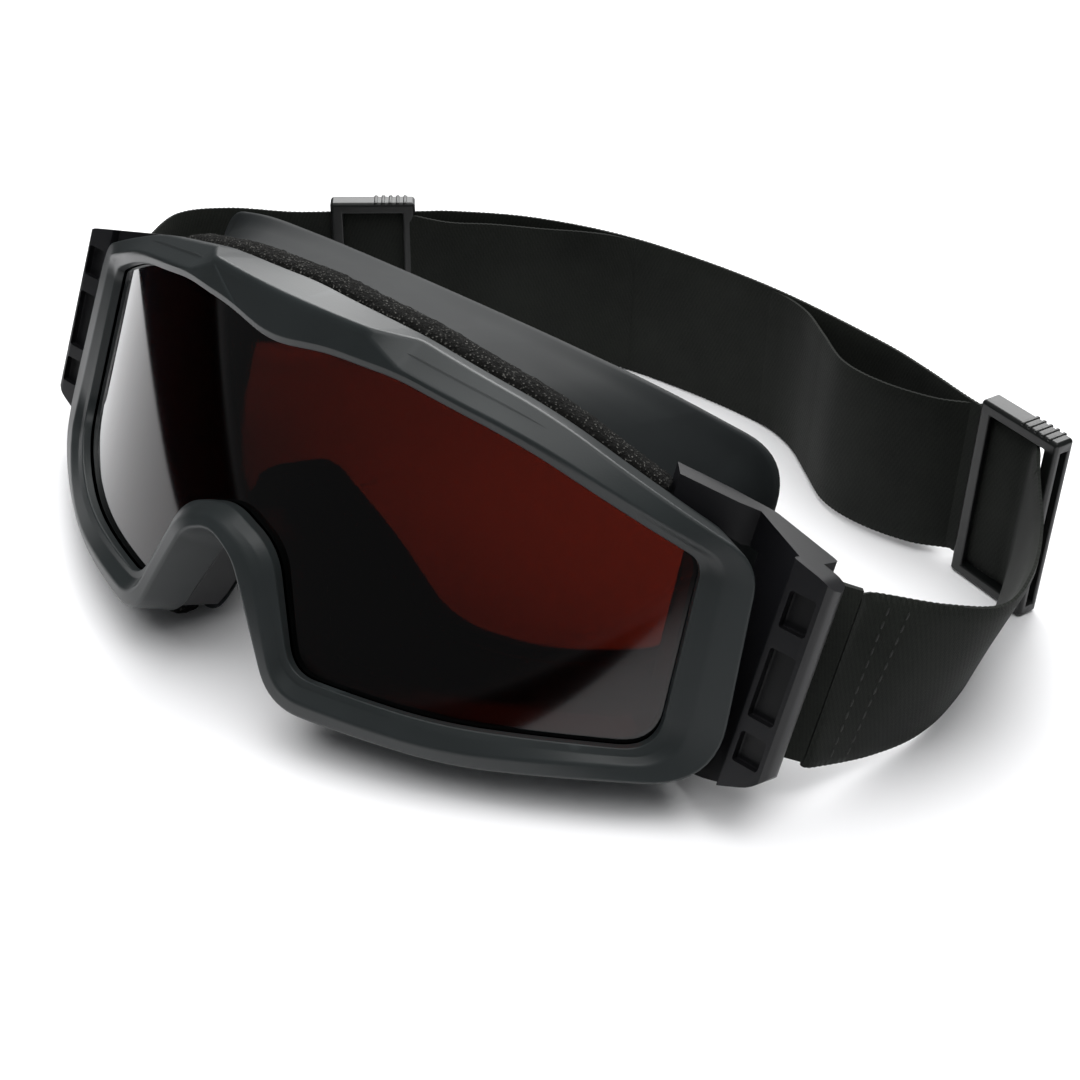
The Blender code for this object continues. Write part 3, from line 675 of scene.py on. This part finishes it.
def resampled(rail, count):
    """Spreads points evenly along an open rail."""
    rail = np.array(rail, float)
    reach = np.concatenate([[0.0], np.cumsum(np.linalg.norm(np.diff(rail, axis=0), axis=1))])
    share = reach / reach[-1]
    even = np.linspace(0.0, 1.0, count)
    return np.column_stack([np.interp(even, share, rail[:, k]) for k in range(3)])


def roughen(item, size, depth):
    """Moves a fine mesh's vertices in and out by a fixed noise."""
    mesh = item.data
    normals = [v.normal.copy() for v in mesh.vertices]
    for vertex, normal in zip(mesh.vertices, normals):
        vertex.co += normal * depth * noise.noise(vertex.co / size)


def rim_loop(inset, shift):
    """The flange's rim, moved in towards the face opening and back."""
    moved = grown(RIM, -inset)
    return rounded_loop([(x, y + shift, z, trim) for x, y, z, trim in moved], unbent)


def between(first, second, share, bulge=0.0):
    """A loop part of the way from one loop to another, pushed out from the mask's axis by a bulge."""
    middle = []
    for a, b in zip(first, second):
        point = a.lerp(b, share)
        out = Vector((point.x, 0.0, point.z)).normalized()
        middle.append(point + out * bulge)
    return middle


def soft_flange():
    inside = grown(APERTURE, CHASSIS_INSIDE)
    root = rounded_loop(at_depth(BACK_EDGE, FLANGE_FRONT))
    root_inside = grown(BACK_EDGE, -FLANGE_ROOT_INSET)
    lip = rim_loop(0.0, FLANGE_LIP_SHIFT)
    rails = [rounded_loop(at_depth(inside, FLANGE_FRONT)), root]
    rails += [between(root, lip, share, bulge) for share, bulge, _ in FLANGE_WALL]
    rails += [rim_loop(inset, shift) for inset, shift, _ in FLANGE_RIM]
    rails.append(rounded_loop(at_depth(root_inside, FLANGE_FRONT + FLANGE_SKIN)))
    rails.append(rounded_loop(at_depth(inside, FLANGE_FRONT + FLANGE_SKIN)))
    rounds = [FLANGE_ROOT_ROUND, FLANGE_ROOT_ROUND]
    rounds += [rounding for _, _, rounding in FLANGE_WALL + FLANGE_RIM]
    rounds += [FLANGE_INSIDE_ROUND, FLANGE_ROOT_ROUND]
    item = ring("soft_flange", rails, rounds, SOFT_RUBBER, "soft_rubber")
    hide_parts("face_flange")
    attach(item, "goggles")


def face_pad():
    """The foam ring that touches the face: crowned behind, pinched where it is glued down."""
    rails = []
    for k in range(PAD_ROWS + 1):
        angle = math.pi * k / PAD_ROWS
        inset = FOAM_INSET + FOAM_WIDTH * (0.5 - 0.5 * math.cos(angle))
        rise = GAP + FOAM_DEPTH * (PAD_SIDE + PAD_CROWN * math.sin(angle) ** 0.7)
        rails.append(rim_loop(inset, rise))
    rails.append(rim_loop(FOAM_INSET + FOAM_WIDTH - PAD_PINCH, GAP))
    rails.append(rim_loop(FOAM_INSET + PAD_PINCH, GAP))
    item = ring("face_pad", rails, (PAD_ROUND,) * len(rails), SKIN_FOAM, "face_foam")
    roughen(item, *PAD_NOISE)
    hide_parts("face_foam")
    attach(item, "goggles")


def hard_parts():
    """The moulded parts that keep the model's shape, and the pins, each with its own edge rounding."""
    for node, surface, slot_name, body, round_off in (
        ("chassis", BLACK_PLASTIC, "satin_black", "goggles", 0.2),
        ("nose_bridge", BLACK_PLASTIC, "satin_frame", "goggles", 0.25),
        ("outrigger_right", BLACK_PLASTIC, "satin_black", "outrigger_right", 0.45),
        ("outrigger_left", BLACK_PLASTIC, "satin_black", "outrigger_left", 0.45),
        ("slider_right", SLIDER_PLASTIC, "satin_black", "slider_right", 0.4),
        ("slider_left", SLIDER_PLASTIC, "satin_black", "slider_left", 0.4),
    ):
        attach(refined(node, surface, slot_name, round_off), body)
    for side in ("right", "left"):
        for place in ("upper", "lower"):
            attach(refined(f"hinge_pin_{place}_{side}", STEEL, "pin_steel", 0.15), "goggles")


# The strap.

# Each adjuster: its middle, and its turn from x in degrees.
SLIDERS = {"right": (94.5, 121.0, -16.0), "left": (-72.0, 104.5, 43.6)}
SLIDER_TALL = 42.0
BAND_LOW = 0.4
BAND_STEP = 0.35
BAND_ROWS = 20
BAND_CREASE = math.radians(70.0)
BEND_LINE = 97.0  # how far back the strap starts to follow the right slider
TURN_END = 4.6  # along the right slider, where its turn of strap is wholly its own
SLACK_THICK = STRAP_THICK - 0.2
SELVEDGE_THICK = 0.15  # square of the selvedge's share of the thickness
SCALLOP_DEPTH = 0.16
SCALLOP_PITCH = 1.15
CURVE_STEP = 0.04
STITCH_ROWS = (5.0, 8.5)
STITCH_MARGIN = 3.0
STITCH_LONG = 1.7
STITCH_GAP = 0.9
STITCH_RADIUS = 0.17
STITCH_FLATTEN = 1.3
GRIP_COUNT = 5
GRIP_SIZE = (0.9, 4.8, 0.7)
GRIP_FIRST = 0.8
GRIP_PITCH = 1.75
GRIP_RISE = 0.02
GRIP_ROUND = 0.3


def slider_point(side, along, outward=0.0):
    """A point in an adjuster's own plan: along the strap that it sits on, and outward from it."""
    x, y, turn = SLIDERS[side]
    c, s = math.cos(math.radians(turn)), math.sin(math.radians(turn))
    return (x + along * c - outward * s, y + along * s + outward * c)


def slider_post(side, along, outward=0.0):
    """The strap's lower and upper edge where it stands in an adjuster."""
    x, y = slider_point(side, along, outward)
    low = (SLIDER_TALL - STRAP_WIDTH) / 2
    return (x, y, low, x, y, low + STRAP_WIDTH)


def upright(x, y, low=BAND_LOW):
    return (x, y, low, x, y, low + STRAP_WIDTH)


def catmull_rom(a, b, c, d, t):
    """The point at t on the curve from b to c."""
    return 0.5 * (2 * b + (c - a) * t + (2 * a - 5 * b + 4 * c - d) * t**2 + (3 * b - a - 3 * c + d) * t**3)


def smooth_path(posts):
    """Curve through posts, resampled to an even step along its middle line."""
    posts = np.array(posts, float)
    padded = np.vstack([2 * posts[0] - posts[1], posts, 2 * posts[-1] - posts[-2]])
    points = []
    for i in range(1, len(padded) - 2):
        for t in np.arange(0.0, 1.0, CURVE_STEP):
            points.append(catmull_rom(*padded[i - 1 : i + 3], t))
    points = np.array([*points, posts[-1]])
    middle = (points[:, :3] + points[:, 3:]) / 2
    travelled = np.concatenate([[0.0], np.cumsum(np.linalg.norm(np.diff(middle, axis=0), axis=1))])
    even = np.linspace(0.0, travelled[-1], max(int(travelled[-1] / BAND_STEP), 2))
    return np.column_stack([np.interp(even, travelled, points[:, k]) for k in range(6)]), even


def band_section():
    """Round the band's section: the share of the half width up from the middle, and which face it is on."""
    down = [(1.0 - 2.0 * k / BAND_ROWS, 1.0) for k in range(BAND_ROWS + 1)]
    up = [(-1.0 + 2.0 * k / BAND_ROWS, -1.0) for k in range(BAND_ROWS + 1)]
    return down + up


def band_rails(path, travelled, thick):
    """Rails along a band: its selvedges are rounded and carry small scallops."""
    low, high = path[:, :3], path[:, 3:]
    middle = (low + high) / 2
    along = np.gradient(middle, axis=0)
    along /= np.linalg.norm(along, axis=1)[:, None]
    up = high - low
    width = np.linalg.norm(up, axis=1)[:, None]
    up = up / width
    side = np.cross(along, up)
    side /= np.linalg.norm(side, axis=1)[:, None]
    edge = SCALLOP_DEPTH * (np.abs(np.sin(math.pi * travelled / SCALLOP_PITCH))[:, None] - 0.5)
    round_share = thick / 2 / (STRAP_WIDTH / 2)
    rails = []
    for share, face in band_section():
        near_edge = max(0.0, (abs(share) - 1.0 + round_share) / round_share)
        crown = max(0.0, 1.0 - near_edge**2) * (1.0 - SELVEDGE_THICK) + SELVEDGE_THICK
        depth = thick / 2 * face * math.sqrt(crown)
        reach = share * (width / 2 + (edge if abs(share) == 1.0 else 0.0))
        rails.append(middle + up * reach + side * depth)
    return rails


def woven_band(name, path, travelled, thick=STRAP_THICK):
    """A woven strap along a path, with the weave laid along it."""
    rails = band_rails(path, travelled, thick)
    heights = np.array([share * STRAP_WIDTH / 2 for share, _ in band_section()])
    sides = len(rails)
    stations = len(path)
    points = np.stack(rails, axis=1).reshape(-1, 3)
    faces = [tuple(range(sides)), tuple(range((stations - 1) * sides, stations * sides))]
    for i in range(stations - 1):
        for j in range(sides):
            here, across = i * sides + j, i * sides + (j + 1) % sides
            faces.append((here, across, across + sides, here + sides))
    mesh = mesh_of(name, points, faces, TABLE)
    layer = mesh.uv_layers.new(name="weave")
    corner_vertex = np.zeros(len(mesh.loops), int)
    mesh.loops.foreach_get("vertex_index", corner_vertex)
    uv = np.column_stack([travelled[corner_vertex // sides], heights[corner_vertex % sides]])
    layer.data.foreach_set("uv", uv.ravel())
    mesh.set_sharp_from_angle(angle=BAND_CREASE)
    return new_piece(name, mesh, WEBBING, "strap_webbing")


# Posts of the strap from below to above: x, y, z of its lower edge, then of its upper edge.
RIGHT_FRONT = (
    (99.0, 42.0, 7.4, 99.0, 55.0, 38.4),
    (100.6, 44.1, 6.8, 100.6, 57.5, 38.1),
    (104.5, 57.0, 3.2, 111.0, 64.0, 37.2),
    (107.2, 70.0, 1.3, 117.4, 73.0, 35.6),
    (106.6, 84.0, 0.8, 116.0, 85.5, 35.4),
    (104.2, 97.0, 0.9, 111.0, 98.0, 36.0),
    (102.0, 107.5, 1.6, 105.0, 108.0, 37.2),
    (100.9, 114.0, 2.6, 101.2, 114.0, 38.6),
    slider_post("right", 4.6, -1.0),
    slider_post("right", 2.4),
    slider_post("right", 0.0),
)
REAR = (
    slider_post("right", 0.0),
    slider_post("right", -4.0),
    slider_post("right", -10.0),
    slider_post("right", -17.0),
    upright(66.0, 131.0, 2.2),
    upright(52.0, 136.2, 1.2),
    upright(24.0, 141.8),
    upright(0.0, 142.4),
    upright(-24.0, 139.8),
    upright(-44.0, 131.0, 1.4),
    slider_post("left", 20.0),
    slider_post("left", 10.0),
    slider_post("left", 0.0),
)
LEFT_FRONT = (
    slider_post("left", 0.0),
    slider_post("left", -10.0),
    slider_post("left", -20.0),
    (-97.6, 80.4, 3.4, -98.4, 81.4, 39.4),
    (-103.6, 66.0, 4.6, -105.2, 71.0, 39.2),
    (-100.6, 44.1, 6.8, -100.6, 57.5, 38.1),
    (-99.0, 42.0, 7.4, -99.0, 55.0, 38.4),
)
SLACK = {
    "right": (
        slider_post("right", -9.0, -1.9),
        upright(83.0, 125.4, 2.6),
        upright(74.0, 121.4, 2.4),
        upright(62.0, 120.6, 1.8),
        upright(51.0, 123.4, 1.2),
        upright(41.0, 131.0, 0.8),
        (33.0, 137.2, 0.7, 33.0, 137.2, 36.5),
        (26.0, 140.6, 0.7, 26.0, 140.6, 36.2),
        (20.0, 142.0, 0.7, 20.0, 142.0, 36.0),
    ),
    "left": (
        slider_post("left", 9.0, -1.9),
        upright(-55.0, 113.4, 2.6),
        upright(-47.0, 120.0, 2.4),
        upright(-38.0, 128.4, 1.2),
        (-31.0, 134.6, 0.8, -31.0, 134.6, 36.6),
        (-25.0, 138.6, 0.8, -25.0, 138.6, 36.2),
        (-19.0, 140.6, 0.8, -19.0, 140.6, 36.0),
    ),
}


def low_edge(row):
    return TABLE @ Vector(row[:3])


def strap():
    """The long band in lengths that meet inside the sliders and on the right side of the head."""
    rear = woven_band("strap_rear", *smooth_path(REAR))
    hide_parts("strap_band")
    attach(rear, "goggles")
    path, travelled = smooth_path(RIGHT_FRONT)
    cut = int(np.argmin(np.abs(path[:, 1] - BEND_LINE)))
    front = woven_band("strap_front_right", path[: cut + 1], travelled[: cut + 1])
    low_edge(path[cut])
    low_edge(path[0])
    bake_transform(front)
    turn = woven_band("strap_turn_right", path[cut:], travelled[cut:])
    turn_end = low_edge(slider_post("right", TURN_END))
    low_edge(path[cut])
    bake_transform(turn)
    stitches("right", path, travelled, STITCH_ROWS, low_edge(path[cut]), low_edge(path[0]))
    path, travelled = smooth_path(LEFT_FRONT)
    front = woven_band("strap_front_left", path, travelled)
    start, end = low_edge(LEFT_FRONT[3]), low_edge(path[-1])
    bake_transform(front)
    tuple(start)
    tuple(end)
    stitches("left", path, travelled, [travelled[-1] - row for row in STITCH_ROWS], start, end)


def slack():
    """The doubled ends beside the adjusters."""
    for side, posts in SLACK.items():
        piece = woven_band(f"strap_inner_{side}", *smooth_path(posts), SLACK_THICK)
        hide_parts(f"strap_slack_{side}")
        start = low_edge(posts[-3])
        end = low_edge(posts[1])
        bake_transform(piece)


def lay_weave(mesh):
    """Lays the weave on a loop of strap: along its plan one way and up the mask the other."""
    upright_frame = MASK.inverted()
    layer = mesh.uv_layers.new(name="weave")
    for corner, spot in zip(mesh.loops, layer.data):
        point = upright_frame @ mesh.vertices[corner.vertex_index].co
        spot.uv = (abs(point.x) + point.y, point.z)


def stitch_row(body, path, travelled, distance):
    """One row of stitches up a band, at a distance from its first post."""
    at = np.searchsorted(travelled, distance)
    low, high = Vector(path[at][:3]), Vector(path[at][3:])
    before, after = path[at - 1], path[at + 1]
    along = Vector((after - before)[:3] + (after - before)[3:]).normalized()
    up = (high - low).normalized()
    outward = along.cross(up).normalized()
    pitch = STITCH_LONG + STITCH_GAP
    count = int((STRAP_WIDTH - STITCH_MARGIN) / pitch)
    for k in range(count):
        middle = (low + high) / 2 + up * pitch * (k - (count - 1) / 2) + outward * (STRAP_THICK / 2)
        stitch = bmesh.ops.create_icosphere(body, subdivisions=2, radius=1.0)["verts"]
        size = (STITCH_RADIUS, STITCH_RADIUS * STITCH_FLATTEN, STITCH_LONG / 2)
        bmesh.ops.scale(body, vec=size, verts=stitch)
        turned = Matrix((outward, along, up)).transposed()
        bmesh.ops.rotate(body, matrix=turned, verts=stitch)
        bmesh.ops.translate(body, vec=middle, verts=stitch)


def stitches(side, path, travelled, distances, start, end):
    """Two rows that close the strap's loop behind the outrigger."""
    body = bmesh.new()
    for distance in distances:
        stitch_row(body, path, travelled, distance)
    mesh = bpy.data.meshes.new(f"stitches_{side}")
    body.to_mesh(mesh)
    body.free()
    mesh.transform(TABLE)
    mesh.shade_smooth()
    item = new_piece(f"stitches_{side}", mesh, THREAD, "strap_webbing")
    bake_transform(item)
    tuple(start)
    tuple(end)


def anchors():
    """The sewn loops round the outriggers' rear bars."""
    for side in ("right", "left"):
        item = refined(f"strap_anchor_{side}", WEBBING, "strap_webbing", 0.35)
        lay_weave(item.data)
        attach(item, f"outrigger_{side}")


def slider_grips():
    """Small ribs across the top of each adjuster, where a thumb pushes it."""
    for side in ("right", "left"):
        body = bmesh.new()
        x, y, turn = SLIDERS[side]
        for k in range(GRIP_COUNT):
            rib = bmesh.ops.create_cube(body, size=1.0)["verts"]
            bmesh.ops.scale(body, vec=GRIP_SIZE, verts=rib)
            spot = (GRIP_FIRST + k * GRIP_PITCH, 0.0, SLIDER_TALL + GRIP_RISE)
            bmesh.ops.translate(body, vec=spot, verts=rib)
        edges = body.edges[:]
        bmesh.ops.bevel(body, geom=edges, offset=GRIP_ROUND, segments=3, profile=0.5, affect="EDGES")
        mesh = bpy.data.meshes.new(f"slider_grip_{side}")
        body.to_mesh(mesh)
        body.free()
        turned = Matrix.Translation(Vector((x, y, 0.0))) @ Matrix.Rotation(math.radians(turn), 4, "Z")
        mesh.transform(TABLE @ turned)
        mesh.shade_smooth()
        item = new_piece(f"slider_grip_{side}", mesh, SLIDER_PLASTIC, "satin_black")
        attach(item, f"slider_{side}")


# Stage.


def camera():
    target = TABLE @ Vector(CAMERA_TARGET)
    back = Vector(
        (
            math.sin(CAMERA_TURN) * math.cos(CAMERA_RISE),
            -math.cos(CAMERA_TURN) * math.cos(CAMERA_RISE),
            math.sin(CAMERA_RISE),
        )
    )
    data = bpy.data.cameras.new("camera")
    data.lens = CAMERA_LENS
    data.sensor_width = SENSOR_WIDTH
    data.clip_start = CAMERA_NEAR
    item = bpy.data.objects.new("camera", data)
    bpy.context.scene.collection.objects.link(item)
    item.location = target + back * CAMERA_DISTANCE * MM
    look = back.to_track_quat("Z", "Y").to_matrix().to_4x4()
    roll = Matrix.Rotation(CAMERA_ROLL, 4, "Z")
    item.matrix_world = Matrix.Translation(item.location) @ look @ roll
    bpy.context.scene.camera = item


def panel(name, location, size, power, glossy):
    data = bpy.data.lights.new(name, "AREA")
    data.shape = "RECTANGLE"
    data.size, data.size_y = size
    data.energy = power
    item = bpy.data.objects.new(name, data)
    bpy.context.scene.collection.objects.link(item)
    item.location = location
    direction = LAMP_TARGET - Vector(location)
    item.rotation_euler = direction.to_track_quat("-Z", "Y").to_euler()
    item.visible_glossy = glossy


def stage_piece(name, points, faces, surface):
    mesh = bpy.data.meshes.new(name)
    mesh.from_pydata(points, [], faces)
    mesh.materials.append(surface)
    item = bpy.data.objects.new(name, mesh)
    bpy.context.scene.collection.objects.link(item)
    return item


def dark_surround():
    """A black ring on the table that only reflections see: the lens mirrors the pale table inside it."""
    points = []
    for k in range(DARK_SPOKES + 1):
        angle = math.radians(DARK_FROM + (DARK_TO - DARK_FROM) * k / DARK_SPOKES)
        for radius in (DARK_INSIDE, DARK_OUTSIDE):
            x = DARK_CENTRE[0] + radius * math.cos(angle)
            y = DARK_CENTRE[1] + radius * math.sin(angle)
            points.append((x, y, DARK_HEIGHT))
    faces = [(k, k + 1, k + 3, k + 2) for k in range(0, 2 * DARK_SPOKES, 2)]
    made = Nodes("dark_card")
    made.set(Base_Color=(0.004, 0.004, 0.005, 1.0), Roughness=1.0)
    made.shader.inputs["Specular IOR Level"].default_value = 0.0
    item = stage_piece("dark_surround", points, faces, made.material)
    item.visible_camera = False
    item.visible_diffuse = False
    item.visible_shadow = False
    item.visible_transmission = False


def pale_table():
    made = Nodes("pale_table")
    cloud = made.grain(made.place(), 6.0, 2.0)
    pale, paler = (0.86, 0.86, 0.87), (0.89, 0.89, 0.9)
    made.set(Base_Color=made.ramp(cloud, ((0.3, pale), (0.7, paler))), Roughness=0.7)
    made.shader.inputs["Specular IOR Level"].default_value = 0.2
    corners = [(x * TABLE_REACH, y * TABLE_REACH, 0.0) for x, y in ((-1, -1), (1, -1), (1, 1), (-1, 1))]
    stage_piece("table", corners, [(0, 1, 2, 3)], made.material)


def stage():
    pale_table()
    dark_surround()
    world = bpy.data.worlds.new("studio")
    bpy.context.scene.world = world
    world.use_nodes = True
    sky = world.node_tree.nodes["Background"]
    sky.inputs["Color"].default_value = SKY_COLOUR
    sky.inputs["Strength"].default_value = SKY_STRENGTH
    for lamp in LAMPS:
        panel(*lamp)
    bpy.context.scene.view_settings.view_transform = "Standard"


camera()
front_frame()
lens_pane()
for filter_strip in FILTER_STRIPS:
    foam_strip(*filter_strip)
soft_flange()
face_pad()
hard_parts()
strap()
slack()
anchors()
slider_grips()
stage()
